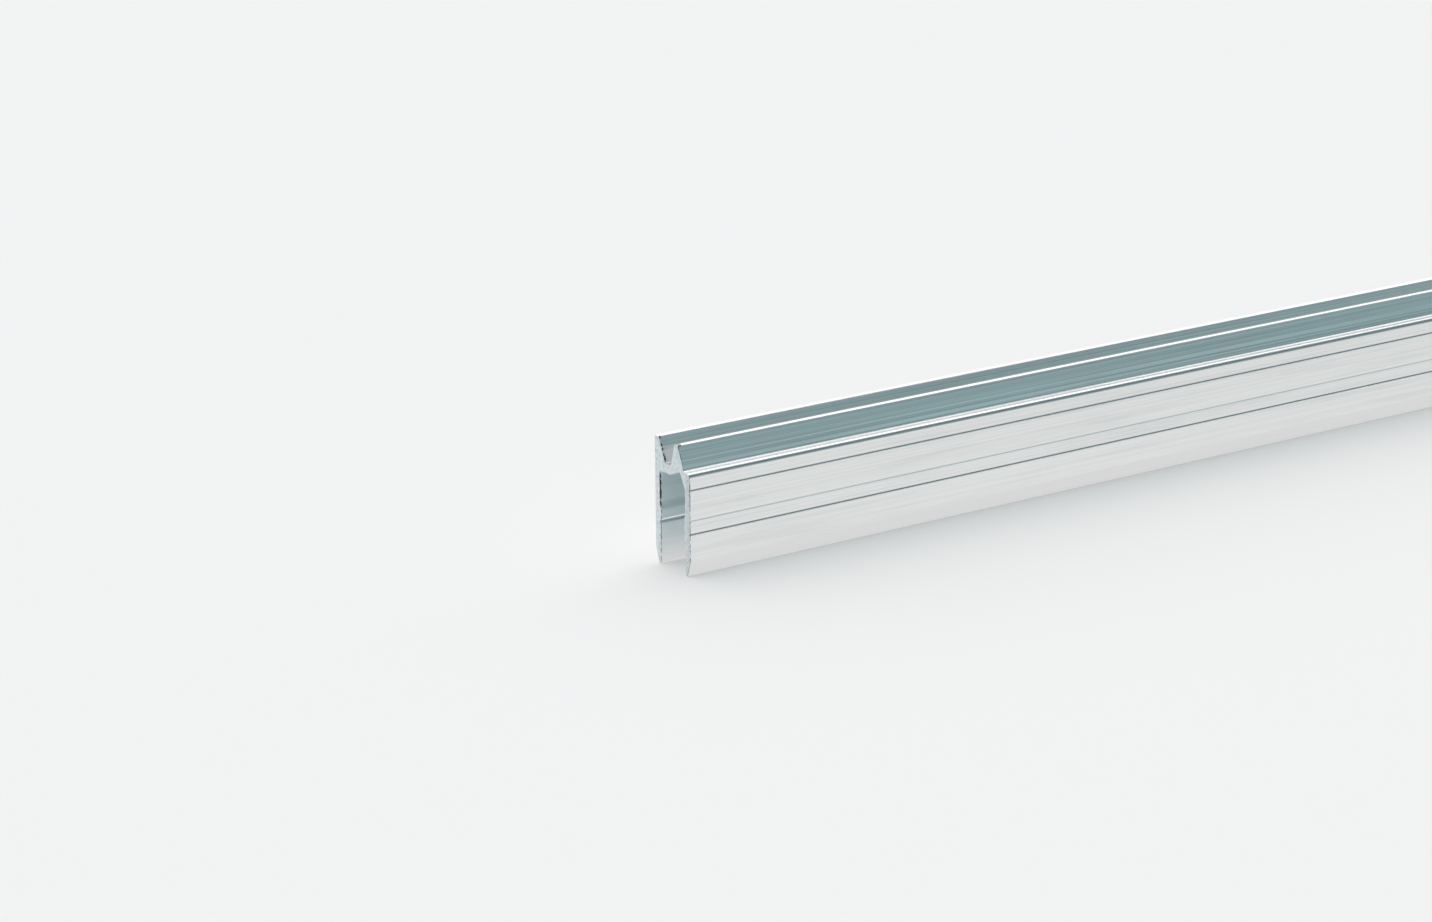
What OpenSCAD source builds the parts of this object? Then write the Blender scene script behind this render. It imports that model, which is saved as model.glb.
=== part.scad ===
// Hybrid lid-location profile for flight cases: one aluminium extrusion.
// A channel below takes the edge of a panel. The head above has a lip, a groove, a tongue and a ledge,
// shaped so that a second length, turned over, closes onto it: its tongue drops into this groove.
// The stock lies along X and stands on its leg tips, lip towards +Y and ledge towards -Y.

/* [Stock] */
// Length of the cut piece
stock_length = 1000; // [100:10:4000]
// Height from the leg tips to the top of the lip and the tongue
section_height = 30; // [28:0.5:40]
// Width across the two outer faces
section_width = 14; // [13.2:0.2:18]

/* [Legs] */
// Wall of a leg above the grip bead
leg_wall = 1.8; // [1.4:0.1:2.2]
// How far the grip bead stands proud of the leg's inner face
bead_rise = 0.4; // [0.2:0.05:0.6]
// Height of the V that parts the bead from the skirt below it
bead_foot = 10; // [8:0.1:11]
// Height where the bead begins to run out into the wall
bead_crest = 13.1; // [11.5:0.1:14]
// Height of the ramp above the crest
bead_ramp = 1.2; // [0.6:0.1:2]
// How far the bead stands proud of the skirt below it
bead_step = 0.12; // [0.05:0.01:0.2]
// Depth of the V below the skirt's surface
bead_cut = 0.35; // [0.2:0.05:0.5]
// Height of the V's upper side
cut_rise = 0.35; // [0.2:0.05:0.5]
// Height of the V's lower side
cut_fall = 0.5; // [0.2:0.05:0.8]
// How far the skirt flares out from the bead down to the tip
skirt_flare = 0.18; // [0.05:0.01:0.4]
// Height of the bevel on the outside of each leg tip
bevel_height = 3.8; // [2:0.1:6]
// Thickness of a leg at its tip
tip_wall = 0.65; // [0.4:0.05:1]

/* [Head] */
// Depth from the top of the lip to the ledge
ledge_drop = 5.75; // [5:0.05:7]
// Thickness of the lip at its top
lip_wall = 1.65; // [1.2:0.05:2]
// Sideways play between two closed profiles
closing_play = 0.6; // [0.2:0.05:0.8]
// How far the tongue stays short of the lip, which is its room in the groove when two profiles are closed
tip_room = 0.25; // [0.1:0.05:0.5]
// Lean of the lip's inner flank and of the tongue's outer flank
outer_lean = 23; // [18:0.5:25]
// Lean of the tongue's inner flank
inner_lean = 16; // [12:0.5:18]
// Wall of the web under the groove
web_wall = 2.15; // [1.8:0.05:3]

/* [Hollow under the tongue] */
// Rise of the hollow above the underside of the web
hollow_rise = 1.7; // [1:0.05:2]
// Distance of the hollow's ridge from the front face
ridge_inset = 3.9; // [3.4:0.1:5]
// Distance of the hollow's back edge from the front face
hollow_inset = 7.8; // [6:0.1:9]
// How far the haunch runs down the front leg below the web
haunch_drop = 1.9; // [1:0.1:4]

/* [Drill lines] */
// Height of the upper line
upper_line = 20.4; // [19:0.05:22]
// Height of the lower line
lower_line = 10.1; // [7:0.05:15]
// Width of a line at the surface
line_width = 0.45; // [0.3:0.05:0.8]
// Depth of a line
line_depth = 0.18; // [0.1:0.01:0.4]

/* [Edge radii] */
// Radius on the lip's two top edges
lip_radius = 0.4; // [0.1:0.05:0.6]
// Radius on the tongue's two tip edges
tongue_radius = 0.5; // [0.1:0.05:0.6]
// Radius on the outer edge of the ledge
ledge_radius = 1; // [0.2:0.05:1.2]
// Fillet at the foot of the tongue
foot_fillet = 0.8; // [0.2:0.05:1]
// Fillet in the groove beside the lip
lip_fillet = 0.6; // [0.2:0.05:0.8]
// Fillet in the groove beside the tongue
tongue_fillet = 0.9; // [0.2:0.05:1]
// Fillet in the channel's back corner
channel_fillet = 0.9; // [0.2:0.05:1.2]
// Fillet in the ridge of the hollow
ridge_fillet = 0.5; // [0.2:0.05:0.8]
// Blend from the haunch into the front leg
haunch_blend = 2; // [0.5:0.1:3]

/* [Hidden] */
$fn = 64;
overcut = 1;

half_width = section_width / 2;
top_z = section_height + overcut;
ledge_z = section_height - ledge_drop;
tip_z = section_height - tip_room;
web_z = ledge_z - web_wall;
closing_z = (section_height + ledge_z) / 2;
bead_wall = leg_wall + bead_rise;
skirt_wall = bead_wall - bead_step;
foot_wall = skirt_wall - skirt_flare;
bevel_inset = foot_wall - tip_wall;

// Where the three leaning flanks of the head stand at height z. The two outer ones match each other when
// one profile is turned over onto another, and the inner one then matches itself.
function lip_flank(z) = [half_width - lip_wall - (section_height - z) * tan(outer_lean), z];
function tongue_front(z) = [lip_wall + closing_play - half_width + (z - ledge_z) * tan(outer_lean), z];
function tongue_back(z) = [-closing_play / 2 - (z - closing_z) * tan(inner_lean), z];

// Corners that the voids and their radii share.
ledge_edge = [-half_width, ledge_z];
channel_corner = [half_width - leg_wall, web_z];
hollow_back = [hollow_inset - half_width, web_z];
ridge = [ridge_inset - half_width, web_z + hollow_rise];
haunch_end = [leg_wall - half_width, web_z - haunch_drop];

// A leg's inner outline from below its tip upwards, as depth in from the outer face and height.
leg_inside = [
    [foot_wall, -overcut],
    [foot_wall, 0],
    [skirt_wall, bead_foot - cut_fall],
    [skirt_wall - bead_cut, bead_foot],
    [bead_wall, bead_foot + cut_rise],
    [bead_wall, bead_crest],
    [leg_wall, bead_crest + bead_ramp],
];
front_inside = [for (p = leg_inside) [p.x - half_width, p.y]];
back_inside = [for (i = [len(leg_inside) - 1 : -1 : 0]) [half_width - leg_inside[i].x, leg_inside[i].y]];

function unit(v) = v / norm(v);

// The sliver between a sharp corner and an arc of radius r that runs into both its edges, carried a little
// past the corner. The arc is a hair larger than the tangent one, so that it crosses the edges cleanly.
module corner_sliver(corner, on_edge_a, on_edge_b, r) {
    a = unit(on_edge_a - corner);
    b = unit(on_edge_b - corner);
    half_angle = acos(a * b) / 2;
    reach = r / tan(half_angle);
    centre = corner + unit(a + b) * r / sin(half_angle);
    translate(centre) {
        difference() {
            polygon([
                [0, 0],
                (corner + a * reach - centre) * 1.2,
                (corner - centre) * 1.2,
                (corner + b * reach - centre) * 1.2,
            ]);
            circle(r * 1.001);
        }
    }
}

// The groove between lip and tongue, open at the top.
module groove() {
    difference() {
        polygon([lip_flank(top_z), lip_flank(ledge_z), tongue_back(ledge_z), tongue_back(top_z)]);
        corner_sliver(lip_flank(ledge_z), lip_flank(top_z), tongue_back(ledge_z), lip_fillet);
        corner_sliver(tongue_back(ledge_z), lip_flank(ledge_z), tongue_back(top_z), tongue_fillet);
    }
}

// The space over the ledge, in front of the tongue.
module ledge_space() {
    outside = ledge_edge - [overcut, 0];
    difference() {
        polygon([outside, tongue_front(ledge_z), tongue_front(top_z), [outside.x, top_z]]);
        corner_sliver(tongue_front(ledge_z), outside, tongue_front(top_z), foot_fillet);
    }
}

// The space over the tongue's tip.
module tip_space() {
    tip_front = tongue_front(tip_z).x - overcut;
    tip_back = tongue_back(tip_z).x + overcut;
    translate([tip_front, tip_z]) square([tip_back - tip_front, tip_room + overcut]);
}

// The channel for the panel, with the hollow under the tongue.
module channel() {
    difference() {
        polygon(concat(front_inside, [haunch_end, ridge, hollow_back, channel_corner], back_inside));
        corner_sliver(haunch_end, front_inside[len(leg_inside) - 1], ridge, haunch_blend);
        corner_sliver(ridge, haunch_end, hollow_back, ridge_fillet);
        corner_sliver(channel_corner, hollow_back, back_inside[0], channel_fillet);
    }
}

// The edges that are rounded on the outside: lip, tongue and ledge.
module edge_rounds() {
    corner_sliver([half_width, section_height], [half_width, 0], lip_flank(section_height), lip_radius);
    corner_sliver(lip_flank(section_height), [half_width, section_height], lip_flank(ledge_z), lip_radius);
    corner_sliver(tongue_back(tip_z), tongue_back(ledge_z), tongue_front(tip_z), tongue_radius);
    corner_sliver(tongue_front(tip_z), tongue_back(tip_z), tongue_front(ledge_z), tongue_radius);
    corner_sliver(ledge_edge, tongue_front(ledge_z), [-half_width, 0], ledge_radius);
}

// The bevels that thin the leg tips from the outside.
module tip_bevels() {
    slope = bevel_height / bevel_inset;
    for (side = [-1, 1]) {
        polygon([
            [side * (half_width + overcut), bevel_height + overcut * slope],
            [side * (half_width - bevel_inset - overcut / slope), -overcut],
            [side * (half_width + overcut), -overcut],
        ]);
    }
}

// A shallow V along each outer face that guides the drill for the rivets.
module drill_lines(z) {
    spread = line_width / 2 * (line_depth + overcut) / line_depth;
    for (side = [-1, 1]) {
        polygon([
            [side * (half_width - line_depth), z],
            [side * (half_width + overcut), z + spread],
            [side * (half_width + overcut), z - spread],
        ]);
    }
}

module section() {
    difference() {
        translate([-half_width, 0]) square([section_width, section_height]);
        groove();
        ledge_space();
        tip_space();
        channel();
        edge_rounds();
        tip_bevels();
        drill_lines(upper_line);
        drill_lines(lower_line);
    }
}

module profile() {
    color([0.80, 0.81, 0.82])
        translate([-stock_length / 2, 0, 0])
            rotate([90, 0, 90])
                linear_extrude(stock_length)
                    section();
}

profile();
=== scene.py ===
"""Mill-finish aluminium lid-location profile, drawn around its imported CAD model."""

import math
from typing import NamedTuple

import bpy
import numpy as np
from mathutils import Euler, Matrix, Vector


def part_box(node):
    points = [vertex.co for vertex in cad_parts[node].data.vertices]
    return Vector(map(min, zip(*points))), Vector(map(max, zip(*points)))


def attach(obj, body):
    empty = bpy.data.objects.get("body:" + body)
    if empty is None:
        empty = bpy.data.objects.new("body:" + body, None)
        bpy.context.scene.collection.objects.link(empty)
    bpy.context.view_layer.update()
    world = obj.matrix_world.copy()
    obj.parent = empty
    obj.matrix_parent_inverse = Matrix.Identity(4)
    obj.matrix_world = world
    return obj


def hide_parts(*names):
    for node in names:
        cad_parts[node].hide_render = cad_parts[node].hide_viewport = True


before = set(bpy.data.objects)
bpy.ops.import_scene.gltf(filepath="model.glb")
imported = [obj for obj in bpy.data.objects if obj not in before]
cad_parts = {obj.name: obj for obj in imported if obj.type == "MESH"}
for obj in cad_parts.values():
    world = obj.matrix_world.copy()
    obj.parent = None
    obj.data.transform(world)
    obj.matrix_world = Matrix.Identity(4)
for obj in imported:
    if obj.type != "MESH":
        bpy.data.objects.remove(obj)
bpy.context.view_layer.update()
BAR_LOW, BAR_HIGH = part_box("profile")
HALF_WIDTH = BAR_HIGH.y

bl_info = {
    "name": "Lid-location profile",
    "version": (1, 0, 0),
    "blender": (4, 5, 0),
    "location": "3D View > Sidebar > Profile",
    "description": "Draws one length of a mill-finish aluminium lid-location extrusion and its studio",
    "category": "Object",
}

MILLIMETRE = 0.001

# The photograph's camera: where it stands, in metres, and its turns about X, Y and Z, in degrees.
CAMERA_PLACE = (-0.91356, -0.64504, 0.27058)
CAMERA_TURNS = (72.26057, 0.43376, -33.53773)

# Its focal length and the width of its sensor, in millimetres, and the nearest that it sees, in metres.
CAMERA_LENS = 90.984
CAMERA_SENSOR = 36.0
CAMERA_NEAREST = 0.01

# How finely the outline and the length are divided.
ARC_POINTS = 9
LENGTH_STATIONS = 48

# How often light is followed from wall to wall in the groove and the channel, in all and off metal.
MOST_BOUNCES = 24
METAL_BOUNCES = 16

# Slopes between the parts of the studio's light: by the height of a direction, and the last by its Y.
WALL_TO_DIM = (0.02, 0.12)
DIM_TO_DARK = (0.36, 0.62)
DARK_TO_TOP = (0.765, 0.885)
LOW_TO_TOP = (0.1, 0.33)
FRONT_TO_BEHIND = (-0.14, 0.1)

# Slopes across the bar, where -1 is its front face and 1 its back face.
FRONT_FACE = (-0.9, -0.94)
FRONT_LEG = (-0.65, -0.9)
TONGUE_FOOT = (-0.3, -0.4)
TONGUE_TIP = (0.0, -0.1)
LIP_AND_BACK_LEG = (0.36, 0.42)

# Slopes outwards, where 0 is the bar's middle and 1 either outer face.
BETWEEN_LEGS = (0.8, 0.77)
BEVELS = (0.76, 0.8)
OUTER_FACES = (0.94, 0.97)

# Slopes of height, each counted in the size of the form that it belongs to. A band has one up and one down.
PAST_EDGE = (0.3, 0.7)
EDGE_BAND = ((0.15, 0.3), (1.05, 0.7))
FOOT_BAND = ((0.15, 0.3), (0.9, 0.5))
# The band above the V where the bead's lower edge keeps a painted highlight.
HIGHLIT_BAND = ((0.0, 0.5), (2.6, 1.6))
BEVEL_TOP = (1.0, 0.96)
TIP_TOP = (0.8, 0.3)

# Slopes of the distance from a cut: in widths of its broken edge, and in reaches of the torn tip.
SAWN_END = (0.9, 0.4)
TORN_STRETCH = (1.0, 0.7)

# The share of painted shade on each part of the section, darkest in its V lines.
LINE_SHADE = 1.0
GROOVE_SHADE = 0.8
BEAD_SHADE = 0.5
FOOT_SHADE = 0.5
EDGE_SHADE = 0.35
SINK_SHADE = 0.3
TONGUE_BACK_SHADE = 0.1
BEVEL_SHADE = 0.09


class Pattern(NamedTuple):
    """How often a pattern repeats per metre across and along its lines, and its number of finer layers.

    Its slope gives the values between which it sets in.
    """

    across: float
    along: float
    layers: float
    slope: tuple


# Lines that the die draws along the bar: a fine set, a broad set, and slow changes down the length.
FINE_LINES = Pattern(3500.0, 4.0, 2.0, (0.4, 0.64))
BROAD_LINES = Pattern(1500.0, 2.0, 2.0, (0.44, 0.66))
DRAG_LINES = Pattern(500.0, 20.0, 3.0, (0.45, 0.8))

# What the saw leaves: rings, tears and flakes with painted glints on the end, and patches and stretches of
# burr with painted shade beside it.
SAW_MARKS = Pattern(4200.0, 150.0, 3.0, (0.42, 0.72))
TEARS = Pattern(1300.0, 1000.0, 2.0, (0.5, 0.7))
FLAKE_GLINTS = Pattern(1000.0, 800.0, 1.0, (0.66, 0.82))
BURR_PATCHES = Pattern(900.0, 900.0, 3.0, (0.36, 0.58))
BURR_STRETCHES = Pattern(160.0, 0.0, 1.0, (0.4, 0.6))

# Values between which the burr's patches set in inside the back leg, on the lip and on the tongue's tip.
LEG_PATCHES = (0.3, 0.42)
LIP_PATCHES = (0.45, 0.5)
TIP_PATCHES = (0.25, 0.55)

# Shares of burr between which there is any, the light painted shade sets in, and the heavy painted shade
# has its edge.
ANY_BURR = (0.0, 0.1)
LIGHT_BURR = (0.54, 0.73)
HEAVY_BURR = (0.2, 0.4)

# How much each finer layer of a pattern weighs, and how far the patches move the heavy burr's edge.
LAYER_WEIGHT = 0.6
BURR_RAGGEDNESS = 1.5


def length_property(name, description, millimetres):
    """A length in metres whose default is given in millimetres."""
    return bpy.props.FloatProperty(
        name=name,
        description=description,
        default=millimetres * MILLIMETRE,
        min=0.0,
        precision=5,
        subtype="DISTANCE",
        unit="LENGTH",
    )


def angle_property(name, description, degrees):
    """An angle whose default is given in degrees."""
    return bpy.props.FloatProperty(
        name=name,
        description=description,
        default=math.radians(degrees),
        subtype="ANGLE",
        unit="ROTATION",
    )


def colour_property(name, description, colour):
    """A linear colour."""
    return bpy.props.FloatVectorProperty(
        name=name,
        description=description,
        default=colour,
        size=3,
        min=0.0,
        soft_max=1.0,
        subtype="COLOR",
    )


def share_property(name, description, share, highest=1.0):
    """A plain number from nought up to a limit."""
    return bpy.props.FloatProperty(
        name=name,
        description=description,
        default=share,
        min=0.0,
        max=highest,
        subtype="FACTOR",
    )


class ProfileSection(bpy.types.PropertyGroup):
    """Sizes of the extruded section, the same as in the CAD source.

    The sink line and what follows it are fine relief, and are drawn only here.
    """

    leg_wall: length_property("Leg wall", "Wall of a leg above the grip bead", 1.8)
    bead_rise: length_property("Bead rise", "How far the grip bead stands proud of the leg", 0.4)
    bead_foot: length_property("Bead foot", "Height of the V between bead and skirt", 10.0)
    bead_crest: length_property("Bead crest", "Height where the bead begins to run out", 13.1)
    bead_ramp: length_property("Bead ramp", "Height of the ramp above the crest", 1.2)
    bead_step: length_property("Bead step", "How far the bead stands proud of the skirt", 0.12)
    bead_cut: length_property("Bead cut", "Depth of the V below the skirt's surface", 0.35)
    cut_rise: length_property("Cut rise", "Height of the V's upper side", 0.35)
    cut_fall: length_property("Cut fall", "Height of the V's lower side", 0.5)
    skirt_flare: length_property("Skirt flare", "How far the skirt flares down to the tip", 0.18)
    bevel_height: length_property("Bevel height", "Height of the bevel outside each leg tip", 3.8)
    tip_wall: length_property("Tip wall", "Thickness of a leg at its tip", 0.65)
    ledge_drop: length_property("Ledge drop", "Depth from the top of the lip to the ledge", 5.75)
    lip_wall: length_property("Lip wall", "Thickness of the lip at its top", 1.65)
    closing_play: length_property("Closing play", "Play between two closed profiles", 0.6)
    tip_room: length_property("Tip room", "How far the tongue stays short of the lip", 0.25)
    outer_lean: angle_property("Outer lean", "Lean of the lip's and tongue's front flanks", 23.0)
    inner_lean: angle_property("Inner lean", "Lean of the tongue's back flank", 16.0)
    web_wall: length_property("Web wall", "Wall of the web under the groove", 2.15)
    hollow_rise: length_property("Hollow rise", "Rise of the hollow under the tongue", 1.7)
    ridge_inset: length_property("Ridge inset", "Hollow's ridge from the front face", 3.9)
    hollow_inset: length_property("Hollow inset", "Hollow's back edge from the front face", 7.8)
    haunch_drop: length_property("Haunch drop", "How far the haunch runs down the front leg", 1.9)
    upper_line: length_property("Upper line", "Height of the upper drill line", 20.4)
    lower_line: length_property("Lower line", "Height of the lower drill line", 10.1)
    line_width: length_property("Line width", "Width of a drill line at the surface", 0.45)
    line_depth: length_property("Line depth", "Depth of a drill line", 0.18)
    lip_radius: length_property("Lip radius", "Radius on the lip's top edges", 0.4)
    tongue_radius: length_property("Tongue radius", "Radius on the tongue's tip edges", 0.5)
    ledge_radius: length_property("Ledge radius", "Radius on the outer edge of the ledge", 1.0)
    foot_fillet: length_property("Foot fillet", "Fillet at the foot of the tongue", 0.8)
    lip_fillet: length_property("Lip fillet", "Fillet in the groove beside the lip", 0.6)
    tongue_fillet: length_property("Tongue fillet", "Fillet in the groove beside the tongue", 0.9)
    channel_fillet: length_property("Channel fillet", "Fillet in the channel's back corner", 0.9)
    ridge_fillet: length_property("Ridge fillet", "Fillet in the ridge of the hollow", 0.5)
    haunch_blend: length_property("Haunch blend", "Blend from the haunch into the leg", 2.0)
    sink_height: length_property("Sink line height", "Height of the faint line outside the bead", 13.36)
    sink_width: length_property("Sink line width", "Width of the faint line", 0.5)
    sink_depth: length_property("Sink line depth", "Depth of the faint line", 0.08)
    die_radius: length_property("Die radius", "Small radius that the die leaves on a sharp edge", 0.06)
    bevel_radius: length_property("Bevel radius", "Radius on the bevel's upper edge", 0.12)
    soft_radius: length_property("Soft radius", "Radius on the faint line and the hollow's back edge", 0.24)
    bead_radius: length_property("Bead radius", "Worn radius on the bead's lower edge", 0.9)
    ramp_blend: length_property("Ramp blend", "Soft blends at both ends of the bead's ramp", 3.4)
    tip_radius: length_property("Tip radius", "Radius on the edges of a leg tip", 0.15)
    saw_break: length_property("Saw break", "Width of the broken edge round a sawn end", 0.04)
    burr_reach: length_property("Burr reach", "How far the saw's dark burr reaches along the bar", 0.6)
    torn_reach: length_property("Torn reach", "How far the tongue's torn tip reaches along the bar", 1.2)


class ProfileFinish(bpy.types.PropertyGroup):
    """Colours and surface of the aluminium."""

    mill_colour: colour_property("Mill colour", "Aluminium as it leaves the die", (0.93, 0.93, 0.93))
    # Painted shade: the metal inside the channel is darkened with this colour.
    channel_shade_colour: colour_property("Channel colour", "Metal inside the channel", (0.84, 0.915, 0.93))
    streak_colour: colour_property("Streak colour", "Duller metal in the die lines", (0.56, 0.58, 0.58))
    sawn_colour: colour_property("Sawn colour", "Freshly sawn aluminium", (0.79, 0.86, 0.88))
    torn_colour: colour_property("Torn colour", "Metal in the saw's deeper marks", (0.46, 0.52, 0.54))
    # Painted shade: this colour darkens the V lines, the groove, under the ledge's edge and the bevels.
    painted_shade_colour: colour_property("Film colour", "Dull residue left in the hollows", (0.45, 0.47, 0.47))
    # Painted shade: this colour darkens the cut edges along the saw's burr and the tongue's torn tip.
    burr_shade_colour: colour_property("Burr colour", "Dark residue on the saw's burr", (0.09, 0.095, 0.10))
    fine_share: share_property("Fine share", "Share of the fine lines in the streaks", 0.55)
    drag_share: share_property("Drag share", "Strength of the streaks that change along the bar", 0.16)
    plain_share: share_property("Plain share", "How far the streaks fade outside and below the head", 0.8)
    channel_share: share_property("Channel share", "How much further they fade in the channel", 0.15)
    mark_share: share_property("Mark share", "Share of the saw's rings in the torn colour", 0.6)
    # Painted shade: how much darker the front leg's sawn end is painted.
    leg_shade_share: share_property("Leg share", "How much more the front leg's end is torn", 0.3)
    burr_share: share_property("Burr share", "Strength of the light burr where it is faintest", 0.6)
    mill_roughness: share_property("Mill roughness", "Roughness of the extruded faces", 0.4)
    line_roughness: share_property("Line roughness", "How far the die lines change it", 0.12)
    drag_roughness: share_property("Drag roughness", "How far it changes along the bar", 0.1)
    channel_roughness: share_property("Channel roughness", "How much rougher the channel is", 0.15)
    # Smoother roughness on the bead's lower edge, where its highlight is painted.
    highlit_polish: share_property("Rubbed polish", "How much smoother the bead's rubbed edge is", 0.35)
    sawn_roughness: share_property("Sawn roughness", "Roughness of the sawn ends", 0.42)
    mark_roughness: share_property("Mark roughness", "How far the saw's rings change it", 0.3)
    line_relief: length_property("Die line relief", "Height of the fine lines left by the die", 0.004)
    saw_relief: length_property("Saw mark relief", "Height of the rings left by the saw", 0.02)
    tear_relief: length_property("Tear relief", "Height of the coarser tears in a sawn end", 0.07)
    flake_relief: length_property("Flake relief", "Height of the bright flakes that the saw leaves", 0.2)
    burr_relief: length_property("Burr relief", "Height of the flakes in the saw's burr", 0.3)
    axle_behind: length_property("Axle behind", "How far the saw's axle is behind the bar's middle", 110.0)
    axle_below: length_property("Axle below", "How far the saw's axle is below the leg tips", 70.0)


class ProfileStage(bpy.types.PropertyGroup):
    """The floor and the light of the studio."""

    floor_reach: length_property("Floor reach", "How far the floor runs each way", 20000.0)
    floor_gap: length_property("Floor gap", "How far the floor lies below the leg tips", 0.1)
    floor_colour: colour_property("Floor colour", "Pale matt floor", (0.73, 0.725, 0.72))
    floor_roughness: share_property("Floor roughness", "Roughness of the floor", 0.9)
    floor_gloss: share_property("Floor gloss", "How much the floor mirrors", 0.1)
    glow_colour: colour_property("Glow colour", "Light that lifts the floor's shade", (0.88, 0.875, 0.87))
    floor_glow: share_property("Floor glow", "Share of the floor that stays pale in shade", 0.35)
    mirror_glow: share_property("Mirror glow", "The same share where metal mirrors the floor", 0.92)
    top_colour: colour_property("Top colour", "Soft light above and behind the bar", (1.75, 1.75, 1.77))
    wall_colour: colour_property("Wall colour", "Pale walls at the horizon", (1.0, 1.01, 1.03))
    low_colour: colour_property("Low colour", "Walls behind the bar, at the horizon", (0.28, 0.29, 0.31))
    dim_colour: colour_property("Dim colour", "Room in front, above the horizon", (0.31, 0.50, 0.53))
    dark_colour: colour_property("Dark colour", "Room in front, high up", (0.07, 0.115, 0.125))
    key_strength: share_property("Key strength", "Strength of the soft lamp", 0.1, 10.0)
    key_angle: angle_property("Key angle", "How wide the soft lamp is", 50.0)
    key_pitch: angle_property("Key pitch", "Turn of the soft lamp about X", 18.0)
    key_roll: angle_property("Key roll", "Turn of the soft lamp about Y", -22.0)


class Corner(NamedTuple):
    """A sharp corner of the section: its place in metres, its arc's radius and its share of painted shade.
    """

    across: float
    height: float
    radius: float
    corner_shade: float = 0.0


def front(corners):
    """Corners whose depth is counted in from the front face, moved to their Y."""
    return [corner._replace(across=corner.across - HALF_WIDTH) for corner in corners]


def back(corners):
    """Corners whose depth is counted in from the back face, moved to their Y."""
    return [corner._replace(across=HALF_WIDTH - corner.across) for corner in corners]


def notch(height, width, depth, radius, corner_shade):
    """The three corners of a V in an outer face, from below upwards, by their depth."""
    return [
        Corner(0.0, height - width / 2, radius),
        Corner(depth, height, radius, corner_shade),
        Corner(0.0, height + width / 2, radius),
    ]


def leg_inside(section):
    """A leg's inner corners from its tip up to the wall above the bead, by their depth."""
    bead = section.leg_wall + section.bead_rise
    skirt = bead - section.bead_step
    return [
        Corner(skirt - section.skirt_flare, 0.0, section.tip_radius),
        Corner(skirt, section.bead_foot - section.cut_fall, section.die_radius),
        Corner(skirt - section.bead_cut, section.bead_foot, section.die_radius, BEAD_SHADE),
        Corner(bead, section.bead_foot + section.cut_rise, section.bead_radius),
        Corner(bead, section.bead_crest, section.ramp_blend),
        Corner(section.leg_wall, section.bead_crest + section.bead_ramp, section.ramp_blend),
    ]


def outer_face(section):
    """An outer face's corners from the bevel's upper edge to the upper drill line, by their depth."""
    width, depth, radius = section.line_width, section.line_depth, section.die_radius
    return [
        Corner(0.0, section.bevel_height, section.bevel_radius),
        *notch(section.lower_line, width, depth, radius, LINE_SHADE),
        *notch(section.sink_height, section.sink_width, section.sink_depth, section.soft_radius, SINK_SHADE),
        *notch(section.upper_line, width, depth, radius, LINE_SHADE),
    ]


def ledge_height(section):
    """The ledge's height above the floor."""
    return BAR_HIGH.z - section.ledge_drop


def tip_height(section):
    """The height of the tongue's tip above the floor."""
    return BAR_HIGH.z - section.tip_room


def tongue_back(section, height):
    """Y of the tongue's back flank at a height: it leans about the middle between the ledge and the top."""
    middle = BAR_HIGH.z - section.ledge_drop / 2
    return -section.closing_play / 2 - (height - middle) * math.tan(section.inner_lean)


def bar_corners(section):
    """The section's sharp corners, anticlockwise seen from +X.

    The path runs from the front leg's tip up inside the channel and down the back leg, up the back face,
    over lip, groove, tongue and ledge, and down the front face to where it began.
    """
    top, ledge, tip = BAR_HIGH.z, ledge_height(section), tip_height(section)
    web = ledge - section.web_wall
    lean = math.tan(section.outer_lean)
    tongue_foot = section.lip_wall + section.closing_play
    inside, face = leg_inside(section), outer_face(section)
    leg_tip = Corner(inside[0].across - section.tip_wall, 0.0, section.tip_radius)
    hollow = [
        Corner(section.leg_wall, web - section.haunch_drop, section.haunch_blend),
        Corner(section.ridge_inset, web + section.hollow_rise, section.ridge_fillet),
        Corner(section.hollow_inset, web, section.soft_radius),
    ]
    lip = [
        Corner(0.0, top, section.lip_radius),
        Corner(section.lip_wall, top, section.lip_radius, EDGE_SHADE),
        Corner(section.lip_wall + section.ledge_drop * lean, ledge, section.lip_fillet, GROOVE_SHADE),
    ]
    tongue_behind = [
        Corner(tongue_back(section, ledge), ledge, section.tongue_fillet, GROOVE_SHADE),
        Corner(tongue_back(section, tip), tip, section.tongue_radius, TONGUE_BACK_SHADE),
    ]
    tongue_before = [
        Corner(tongue_foot + (tip - ledge) * lean, tip, section.tongue_radius, EDGE_SHADE),
        Corner(tongue_foot, ledge, section.foot_fillet),
        Corner(0.0, ledge, section.ledge_radius),
    ]
    channel_corner = Corner(section.leg_wall, web, section.channel_fillet)
    return [
        *front([leg_tip, *inside, *hollow]),
        *back([channel_corner, *reversed(inside), leg_tip, *face, *lip]),
        *tongue_behind,
        *front([*tongue_before, *reversed(face)]),
    ]


def unit(vectors):
    """Each vector divided by its own length."""
    return vectors / np.linalg.norm(vectors, axis=-1, keepdims=True)


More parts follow.
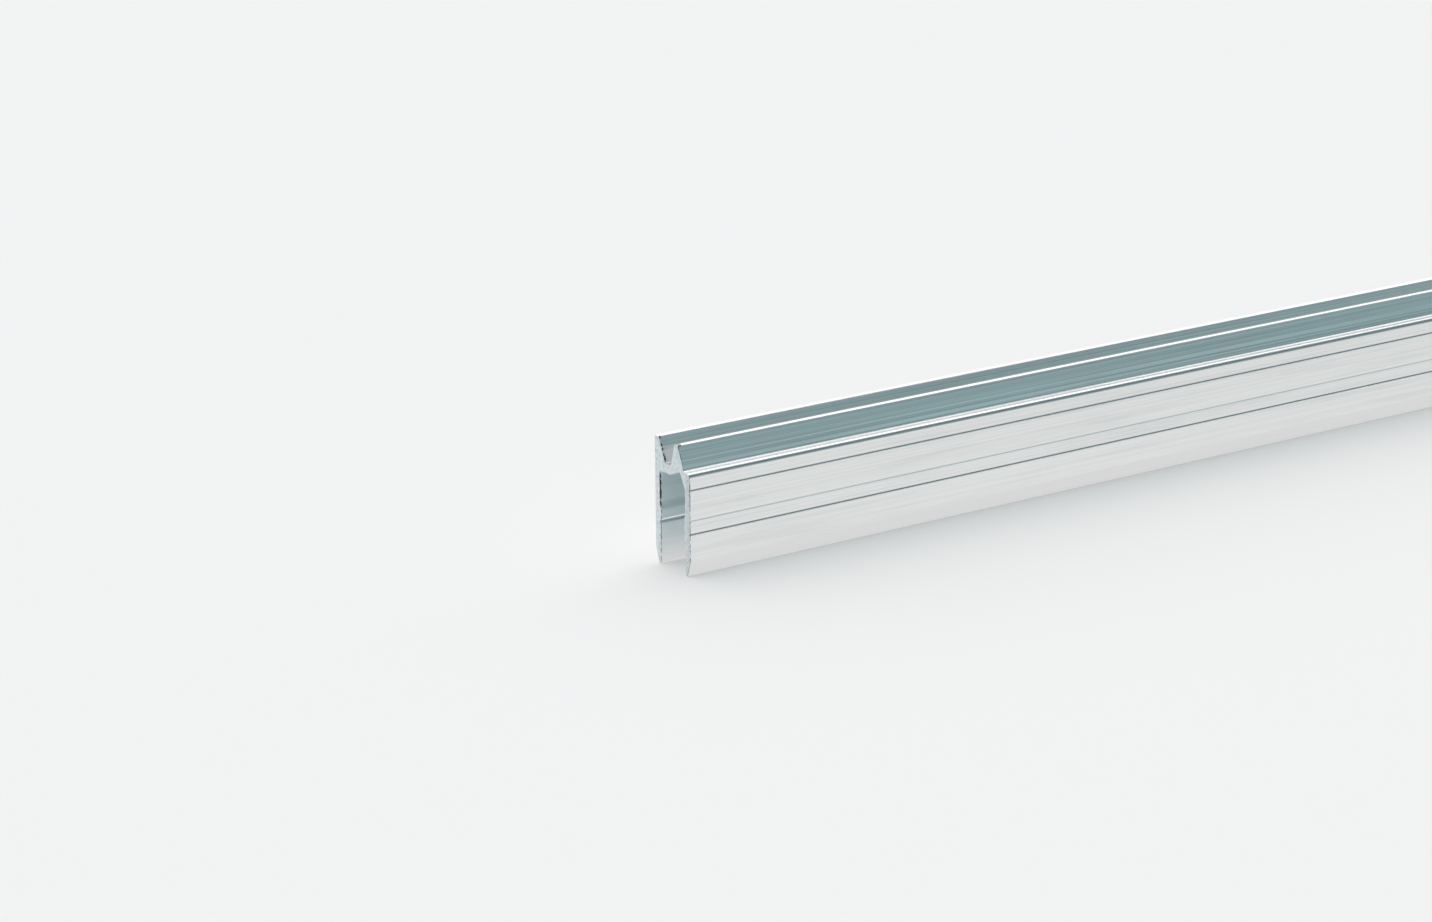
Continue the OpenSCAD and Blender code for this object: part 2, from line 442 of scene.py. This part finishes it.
def rounded_outline(corners, radii):
    """Points and outward directions round a closed path whose corners are arcs.

    At a corner the arc's centre lies on the bisector, at radius / sin(half angle). Its points turn evenly
    from one edge's tangent point to the other's, by the sines of the two shares of the turn.
    The outward direction is the arc's own radius, turned about where the corner is hollow.
    """
    before = unit(np.roll(corners, 1, axis=0) - corners)
    after = unit(np.roll(corners, -1, axis=0) - corners)
    half_angle = np.arccos(np.clip((before * after).sum(axis=1), -1.0, 1.0)) / 2
    reach = (radii / np.tan(half_angle))[:, None]
    centre = corners + unit(before + after) * (radii / np.sin(half_angle))[:, None]
    first = unit(corners + before * reach - centre)
    last = unit(corners + after * reach - centre)
    turn = (math.pi - 2 * half_angle)[:, None, None]
    share = np.linspace(0.0, 1.0, ARC_POINTS)[None, :, None]
    spokes = np.sin((1 - share) * turn) * first[:, None] + np.sin(share * turn) * last[:, None]
    spokes = spokes / np.sin(turn)
    points = centre[:, None] + spokes * radii[:, None, None]
    bulging = np.where(before[:, 0] * after[:, 1] - before[:, 1] * after[:, 0] < 0, 1.0, -1.0)
    outward = spokes * bulging[:, None, None]
    return points.reshape(-1, 2), outward.reshape(-1, 2)


def bar_points(section, points, outward):
    """The outline repeated at stations along X, from sawn end to sawn end.

    The first and last stations are drawn in along the outward directions by the width of the broken edge.
    Gives one row of points for each station.
    """
    edge, burr = section.saw_break, section.burr_reach
    middle = np.linspace(BAR_LOW.x + burr, BAR_HIGH.x - burr, LENGTH_STATIONS)
    stations = np.concatenate([[BAR_LOW.x, BAR_LOW.x + edge], middle, [BAR_HIGH.x - edge, BAR_HIGH.x]])
    drawn_in = np.zeros(len(stations))
    drawn_in[[0, -1]] = edge
    rings = points[None] - outward[None] * drawn_in[:, None, None]
    along = np.broadcast_to(stations[:, None, None], (len(stations), len(points), 1))
    return np.concatenate([along, rings], axis=2)


def bar_faces(rows, count):
    """Four-cornered walls between neighbouring rows of points, and a cap of the whole row at each end."""
    here = np.arange(count)
    there = np.roll(here, -1)
    row = np.arange(rows - 1)[:, None] * count
    walls = np.stack([row + here, row + there, row + count + there, row + count + here], axis=2)
    last_row = (rows - 1) * count
    return [*walls.reshape(-1, 4).tolist(), here[::-1].tolist(), (last_row + here).tolist()]


def bar_directions(rows, outward):
    """The direction at every corner of every face, in the faces' own order.

    A wall takes the outline's outward directions. The broken edge round an end leans half a right angle
    towards that end, because it goes in as far as it goes along. The caps look along X.
    """
    count = len(outward)
    following = np.roll(outward, -1, axis=0)
    walls = np.zeros((rows - 1, count, 4, 3))
    walls[..., 1:] = np.stack([outward, following, following, outward], axis=1)
    walls[0, ..., 0] = -1.0
    walls[-1, ..., 0] = 1.0
    cap = np.zeros((count, 3))
    cap[:, 0] = 1.0
    return np.concatenate([unit(walls).reshape(-1, 3), -cap, cap])


def bar_marks(rows, points, outward, corner_shade):
    """For every point, the length round the outline up to it, its share of burr and its share of painted
    shade.

    The saw leaves its burr beside both cuts, on what faces -Y, in proportion to how squarely it does.
    """
    steps = np.linalg.norm(np.diff(points, axis=0), axis=1)
    around = np.concatenate([[0.0], np.cumsum(steps)])
    beside_cut = np.zeros((rows, 1))
    beside_cut[[0, 1, -2, -1]] = 1.0
    burr = beside_cut * np.clip(-outward[:, 0], 0.0, 1.0)
    return {
        "around": np.tile(around, rows),
        "burr": burr.ravel(),
        "corner_shade": np.tile(np.repeat(corner_shade, ARC_POINTS), rows),
    }


def bar_mesh(section):
    """The rounded outline carried along X and closed by two sawn ends, with directions and marks."""
    corners = np.array(bar_corners(section))
    points, outward = rounded_outline(corners[:, :2], corners[:, 2])
    vertices = bar_points(section, points, outward)
    rows = len(vertices)
    mesh = bpy.data.meshes.new("profile_bar")
    mesh.from_pydata(vertices.reshape(-1, 3).tolist(), [], bar_faces(rows, len(points)))
    mesh.shade_smooth()
    mesh.normals_split_custom_set(bar_directions(rows, outward).tolist())
    for name, values in bar_marks(rows, points, outward, corners[:, 3]).items():
        layer = mesh.attributes.new(name, "FLOAT", "POINT")
        layer.data.foreach_set("value", values.astype(np.float32))
    if mesh.validate(verbose=True):
        raise RuntimeError("the bar's mesh has faults")
    return mesh


class Wire:
    """One output socket of a node tree. Sums and products of wires add Math nodes."""

    def __init__(self, tree, socket=None):
        self.tree = tree
        self.socket = socket

    def node(self, kind, settings, inputs, output=0):
        """Adds a node, sets its settings and then its sockets, and gives one of its outputs."""
        made = self.tree.nodes.new(kind)
        for name, value in settings.items():
            setattr(made, name, value)
        for name, value in inputs.items():
            if isinstance(value, Wire):
                self.tree.links.new(value.socket, made.inputs[name])
            else:
                made.inputs[name].default_value = value
        return Wire(self.tree, made.outputs[output] if made.outputs else None)

    def other(self, output):
        """Another output of the same node."""
        return Wire(self.tree, self.socket.node.outputs[output])

    def math(self, operation, first, second=0.0):
        """A Math node of two values."""
        return self.node("ShaderNodeMath", {"operation": operation}, {0: first, 1: second})

    def __add__(self, value):
        return self.math("ADD", self, value)

    __radd__ = __add__

    def __sub__(self, value):
        return self.math("SUBTRACT", self, value)

    def __rsub__(self, value):
        return self.math("SUBTRACT", value, self)

    def __mul__(self, value):
        return self.math("MULTIPLY", self, value)

    __rmul__ = __mul__

    def __truediv__(self, value):
        return self.math("DIVIDE", self, value)

    def __rtruediv__(self, value):
        return self.math("DIVIDE", value, self)

    def __pow__(self, value):
        return self.math("POWER", self, value)

    def __abs__(self):
        return self.math("ABSOLUTE", self)

    def larger(self, value):
        """The larger of this value and another."""
        return self.math("MAXIMUM", self, value)

    def ramp(self, low, high):
        """Nought at low, one at high, and a smooth step between."""
        settings = {"interpolation_type": "SMOOTHSTEP", "clamp": True}
        return self.node("ShaderNodeMapRange", settings, {"Value": self, "From Min": low, "From Max": high})

    def band(self, rise, fall):
        """One between a slope up and a slope down."""
        return self.ramp(*rise) * self.ramp(*fall)

    def noise(self, across, along, pattern):
        """Smooth noise from nought to one over two lengths, each times how often the pattern repeats."""
        sockets = {"X": across * pattern.across, "Y": along * pattern.along}
        place = self.node("ShaderNodeCombineXYZ", {}, sockets)
        settings = {"noise_dimensions": "2D"}
        sockets = {"Vector": place, "Scale": 1.0, "Detail": pattern.layers, "Roughness": LAYER_WEIGHT}
        return self.node("ShaderNodeTexNoise", settings, sockets, "Fac")

    def mix(self, first, second):
        """The first colour where this value is nought and the second where it is one."""
        return self.node("ShaderNodeMix", {"data_type": "RGBA"}, {0: self, 6: first, 7: second}, 2)


class BarPoint(NamedTuple):
    """A point of the bar: where it lies in metres and in shares, its marks, and which zones it is in."""

    along: Wire
    across: Wire
    height: Wire
    end_gap: Wire
    side: Wire
    depth: Wire
    around: Wire
    burr: Wire
    corner_shade: Wire
    below: Wire
    channel: Wire


class Look(NamedTuple):
    """What one kind of surface gives to the metal."""

    colour: Wire
    roughness: Wire
    relief: Wire


def bare_tree(owner):
    """Switches a material or a world to nodes and empties its tree."""
    owner.use_nodes = True
    owner.node_tree.nodes.clear()
    return Wire(owner.node_tree)


def solid(colour):
    """A colour with full alpha, as a node's socket takes it."""
    return (*colour, 1.0)


def bar_point(start, section):
    """Reads where a point lies and its marks.

    The gap is the distance to the nearer cut. The side goes from -1 at the front face to 1 at the back one.
    The depth is counted down from the ledge in radii of its edge. Below is one past that edge, and the
    channel is what lies below and between the legs.
    """
    place = start.node("ShaderNodeTexCoord", {}, {}, "Object")
    along = start.node("ShaderNodeSeparateXYZ", {}, {"Vector": place}, "X")
    across, height = along.other("Y"), along.other("Z")
    side = across / HALF_WIDTH
    depth = (ledge_height(section) - height) / section.ledge_radius
    below = depth.ramp(*PAST_EDGE)
    return BarPoint(
        along=along,
        across=across,
        height=height,
        end_gap=BAR_HIGH.x - abs(along),
        side=side,
        depth=depth,
        around=start.node("ShaderNodeAttribute", {"attribute_name": "around"}, {}, "Fac"),
        burr=start.node("ShaderNodeAttribute", {"attribute_name": "burr"}, {}, "Fac"),
        corner_shade=start.node("ShaderNodeAttribute", {"attribute_name": "corner_shade"}, {}, "Fac"),
        below=below,
        channel=below * abs(side).ramp(*BETWEEN_LEGS),
    )


def painted_shade(point, section):
    """The share of painted shade: marked corners, under the ledge's edge, the tongue's foot and the bevels.

    Each of the last three is a band or a slope of height times a slope across the bar.
    """
    under_ledge = point.depth.band(*EDGE_BAND) * point.side.ramp(*FRONT_FACE)
    above_ledge = (point.height - ledge_height(section)) / section.foot_fillet
    foot = above_ledge.band(*FOOT_BAND) * point.side.ramp(*TONGUE_FOOT)
    bevel = (point.height / section.bevel_height).ramp(*BEVEL_TOP) * abs(point.side).ramp(*BEVELS)
    return point.corner_shade + under_ledge + foot * FOOT_SHADE + bevel * BEVEL_SHADE


def highlit_edge(point, section):
    """One on the bead's lower edge, where a highlight is painted: a band of height above the V, counted in
    the V's upper side.
    """
    above_cut = (point.height - section.bead_foot) / section.cut_rise
    return point.channel * above_cut.band(*HIGHLIT_BAND)


def mill_look(start, point, finish, section):
    """The extruded faces: lines that the die draws along the bar, and painted shade in the hollows.

    The head keeps the strongest lines, and the outer faces and the channel are plainer. The channel is
    painted darker as shade that fades towards its mouth, and the bead's lower edge keeps a painted
    highlight.
    """
    fine_lines = start.noise(point.around, point.along, FINE_LINES)
    broad_lines = start.noise(point.around, point.along, BROAD_LINES)
    drag = start.noise(point.around, point.along, DRAG_LINES)
    lines = (fine_lines + broad_lines) * 0.5
    outside = abs(point.side).ramp(*OUTER_FACES)
    drawn = 1.0 - finish.plain_share * point.below.larger(outside) - finish.channel_share * point.channel
    streaks = fine_lines.ramp(*FINE_LINES.slope) * finish.fine_share
    streaks = streaks + broad_lines.ramp(*BROAD_LINES.slope) * (1.0 - finish.fine_share)
    streaks = streaks * drawn + drag.ramp(*DRAG_LINES.slope) * finish.drag_share
    highlit = highlit_edge(point, section)
    # Painted shade: darker, cooler metal in the channel above its mouth, left out on the bead's lower edge.
    channel_shade = point.channel * point.height.ramp(0.0, section.bead_foot) * (1.0 - highlit)
    colour = channel_shade.mix(solid(finish.mill_colour), solid(finish.channel_shade_colour))
    colour = streaks.mix(colour, solid(finish.streak_colour))
    # Painted shade in the creases, under the ledge's edge and on the bevels.
    colour = painted_shade(point, section).mix(colour, solid(finish.painted_shade_colour))
    roughness = finish.mill_roughness + (lines - 0.5) * finish.line_roughness
    roughness = roughness + (drag - 0.5) * finish.drag_roughness
    roughness = roughness + point.channel * finish.channel_roughness - highlit * finish.highlit_polish
    return Look(colour, roughness, lines * finish.line_relief)


def sawn_look(start, point, finish):
    """The sawn ends: rings about the saw's axle, well outside the section, with tears and raised flakes
    that carry painted glints.

    A ring's radius is the distance from the axle. Rings and tears darken the metal where no flake lies,
    so the flakes keep a painted glint, and the front leg's end is painted darker as shade.
    """
    across = point.across - finish.axle_behind
    height = point.height + finish.axle_below
    radius = (across * across + height * height) ** 0.5
    rings = start.noise(radius, point.around, SAW_MARKS)
    tears = start.noise(point.across, point.height, TEARS)
    flake_glints = start.noise(point.across, point.height, FLAKE_GLINTS).ramp(*FLAKE_GLINTS.slope)
    torn = rings.ramp(*SAW_MARKS.slope) * finish.mark_share
    torn = torn + tears.ramp(*TEARS.slope) * (1.0 - finish.mark_share)
    # Painted shade: the front leg's sawn end is darkened further, on top of its torn marks.
    front_leg_shade = point.below * point.side.ramp(*FRONT_LEG)
    # Painted glints on the flakes, which the darkening leaves out, and painted shade added on the front
    # leg's end.
    torn = torn * (1.0 - flake_glints) + front_leg_shade * finish.leg_shade_share
    colour = torn.mix(solid(finish.sawn_colour), solid(finish.torn_colour))
    roughness = finish.sawn_roughness + (rings - 0.5) * finish.mark_roughness
    relief = rings * finish.saw_relief + tears * finish.tear_relief + flake_glints * finish.flake_relief
    return Look(colour, roughness, relief)


def burr_shade_and_relief(start, point, finish, section):
    """How dark the painted shade along the saw's burr is and how far the burr stands up, both as shares.

    Light painted shade lies in patches wherever the burr is marked. It is heavy, with an edge that the
    patches make ragged, on the lip's flank and inside the back leg above its bead. The tongue's thin tip is
    torn beside the cut, and painted dark there as shade. Only the lip's burr and the torn tip stand up.
    """
    patches = start.noise(point.around, point.along, BURR_PATCHES)
    stretches = start.noise(point.around, point.along, BURR_STRETCHES).ramp(*BURR_STRETCHES.slope)
    light = point.burr.ramp(*LIGHT_BURR) * patches.ramp(*BURR_PATCHES.slope)
    light = light * (finish.burr_share + (1.0 - finish.burr_share) * stretches)
    heavy = point.height.ramp(section.bead_crest, section.bead_crest + section.bead_ramp)
    heavy = heavy * point.side.ramp(*LIP_AND_BACK_LEG)
    ragged = point.burr + (patches - 0.5) * BURR_RAGGEDNESS
    broken = ragged.ramp(*HEAVY_BURR) * point.burr.ramp(*ANY_BURR) * heavy
    in_leg = broken * patches.ramp(*LEG_PATCHES) * point.below
    on_lip = broken * (1.0 - point.below)
    below_tip = (tip_height(section) - point.height) / section.tongue_radius
    torn_tip = below_tip.ramp(*TIP_TOP) * point.side.ramp(*TONGUE_TIP)
    torn_tip = torn_tip * (point.end_gap / section.torn_reach).ramp(*TORN_STRETCH)
    dark = light * (1.0 - heavy) + in_leg + on_lip * patches.ramp(*LIP_PATCHES)
    dark = dark + torn_tip * patches.ramp(*TIP_PATCHES)
    return dark, patches * (on_lip + torn_tip)


def aluminium_material(finish, section):
    """Satin mill aluminium: die lines along the bar, saw marks on its ends and painted shade along the burr
    beside them.
    """
    material = bpy.data.materials.new("mill_finish_aluminium")
    start = bare_tree(material)
    point = bar_point(start, section)
    mill = mill_look(start, point, finish, section)
    end = sawn_look(start, point, finish)
    dark, raised = burr_shade_and_relief(start, point, finish, section)
    sawn = (point.end_gap / section.saw_break).ramp(*SAWN_END)
    extruded = 1.0 - sawn
    colour = sawn.mix(mill.colour, end.colour)
    # Painted shade along the burr beside each cut.
    colour = (dark * extruded).mix(colour, solid(finish.burr_shade_colour))
    roughness = mill.roughness * extruded + end.roughness * sawn
    relief = (mill.relief + raised * finish.burr_relief) * extruded + end.relief * sawn
    bump = start.node("ShaderNodeBump", {}, {"Height": relief, "Strength": 1.0, "Distance": 1.0}, "Normal")
    metal = start.node(
        "ShaderNodeBsdfPrincipled",
        {},
        {"Base Color": colour, "Roughness": roughness, "Metallic": 1.0, "Normal": bump},
    )
    start.node("ShaderNodeOutputMaterial", {}, {"Surface": metal})
    return material


def floor_material(stage):
    """Pale matt floor.

    A share of it shines evenly for the camera and for metal, so that its shade stays light.
    """
    material = bpy.data.materials.new("studio_floor")
    start = bare_tree(material)
    sockets = {
        "Base Color": solid(stage.floor_colour),
        "Roughness": stage.floor_roughness,
        "Specular IOR Level": stage.floor_gloss,
    }
    matt = start.node("ShaderNodeBsdfPrincipled", {}, sockets)
    seen = start.node("ShaderNodeLightPath", {}, {}, "Is Camera Ray")
    mirrored = seen.other("Is Glossy Ray").larger(seen.other("Is Transmission Ray"))
    glow = seen * stage.floor_glow + mirrored * stage.mirror_glow
    shine = start.node("ShaderNodeEmission", {}, {"Color": solid(stage.glow_colour), "Strength": 1.0})
    both = start.node("ShaderNodeMixShader", {}, {0: glow, 1: matt, 2: shine})
    start.node("ShaderNodeOutputMaterial", {}, {"Surface": both})
    return material


def add_object(name, data):
    """Puts a new object into the scene."""
    added = bpy.data.objects.new(name, data)
    bpy.context.scene.collection.objects.link(added)
    return added


def studio_floor(stage):
    """A square floor, level and just clear of the leg tips."""
    reach, level = stage.floor_reach, -stage.floor_gap
    mesh = bpy.data.meshes.new("floor")
    corners = [(x * reach, y * reach, level) for x, y in ((-1, -1), (1, -1), (1, 1), (-1, 1))]
    mesh.from_pydata(corners, [], [(0, 1, 2, 3)])
    mesh.materials.append(floor_material(stage))
    return add_object("floor", mesh)


def studio_light(stage):
    """A world that is bright above and behind the bar, pale at the horizon, and dim in front."""
    world = bpy.data.worlds.new("studio_light")
    bpy.context.scene.world = world
    start = bare_tree(world)
    direction = start.node("ShaderNodeTexCoord", {}, {}, "Generated")
    across = start.node("ShaderNodeSeparateXYZ", {}, {"Vector": direction}, "Y")
    height = across.other("Z")
    before = height.ramp(*DIM_TO_DARK).mix(solid(stage.dim_colour), solid(stage.dark_colour))
    before = height.ramp(*DARK_TO_TOP).mix(before, solid(stage.top_colour))
    before = height.ramp(*WALL_TO_DIM).mix(solid(stage.wall_colour), before)
    behind = height.ramp(*LOW_TO_TOP).mix(solid(stage.low_colour), solid(stage.top_colour))
    colour = across.ramp(*FRONT_TO_BEHIND).mix(before, behind)
    light = start.node("ShaderNodeBackground", {}, {"Color": colour, "Strength": 1.0})
    start.node("ShaderNodeOutputWorld", {}, {"Surface": light})


def overhead_lamp(stage):
    """A wide soft lamp, turned a little off straight down."""
    lamp = bpy.data.lights.new("overhead_lamp", "SUN")
    lamp.energy = stage.key_strength
    lamp.angle = stage.key_angle
    key = add_object("overhead_lamp", lamp)
    key.rotation_euler = (stage.key_pitch, stage.key_roll, 0.0)


def photo_camera():
    """A camera that stands and looks as the photograph's does."""
    lens = bpy.data.cameras.new("photo_camera")
    lens.sensor_width = CAMERA_SENSOR
    lens.lens = CAMERA_LENS
    lens.clip_start = CAMERA_NEAREST
    camera = add_object("photo_camera", lens)
    turns = Euler([math.radians(turn) for turn in CAMERA_TURNS])
    camera.matrix_world = Matrix.LocRotScale(CAMERA_PLACE, turns, None)
    return camera


class PROFILE_OT_make_stage(bpy.types.Operator):
    """Make the floor, the light and the camera"""

    bl_idname = "profile.make_stage"
    bl_label = "Make the stage"

    def execute(self, context):
        stage = context.scene.profile_stage
        context.scene.view_settings.view_transform = "Standard"
        context.scene.cycles.max_bounces = MOST_BOUNCES
        context.scene.cycles.glossy_bounces = METAL_BOUNCES
        floor = studio_floor(stage)
        studio_light(stage)
        overhead_lamp(stage)
        context.scene.camera = photo_camera()
        return {"FINISHED"}


class PROFILE_OT_make_bar(bpy.types.Operator):
    """Make the extruded bar with its sawn ends"""

    bl_idname = "profile.make_bar"
    bl_label = "Make the bar"

    def execute(self, context):
        section = context.scene.profile_section
        mesh = bar_mesh(section)
        mesh.materials.append(aluminium_material(context.scene.profile_finish, section))
        bar = add_object("profile_bar", mesh)
        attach(bar, "root")
        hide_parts("profile")
        return {"FINISHED"}


class PROFILE_PT_panel(bpy.types.Panel):
    """Lists the pieces and their sizes"""

    bl_idname = "PROFILE_PT_panel"
    bl_label = "Lid-location profile"
    bl_space_type = "VIEW_3D"
    bl_region_type = "UI"
    bl_category = "Profile"

    def draw(self, context):
        layout = self.layout
        for operator in (PROFILE_OT_make_stage, PROFILE_OT_make_bar):
            layout.operator(operator.bl_idname)
        scene = context.scene
        for group in (scene.profile_section, scene.profile_finish, scene.profile_stage):
            box = layout.box()
            for name in group.__annotations__:
                box.prop(group, name)


CLASSES = (
    ProfileSection,
    ProfileFinish,
    ProfileStage,
    PROFILE_OT_make_stage,
    PROFILE_OT_make_bar,
    PROFILE_PT_panel,
)


def register():
    """Registers the classes and puts the groups of values on the scene."""
    for item in CLASSES:
        bpy.utils.register_class(item)
    bpy.types.Scene.profile_section = bpy.props.PointerProperty(type=ProfileSection)
    bpy.types.Scene.profile_finish = bpy.props.PointerProperty(type=ProfileFinish)
    bpy.types.Scene.profile_stage = bpy.props.PointerProperty(type=ProfileStage)


def unregister():
    """Takes the groups off the scene and unregisters the classes."""
    del bpy.types.Scene.profile_stage
    del bpy.types.Scene.profile_finish
    del bpy.types.Scene.profile_section
    for item in reversed(CLASSES):
        bpy.utils.unregister_class(item)


def main():
    """Makes the stage and the bar."""
    register()
    bpy.ops.profile.make_stage()
    bpy.ops.profile.make_bar()


if __name__ == "__main__":
    main()
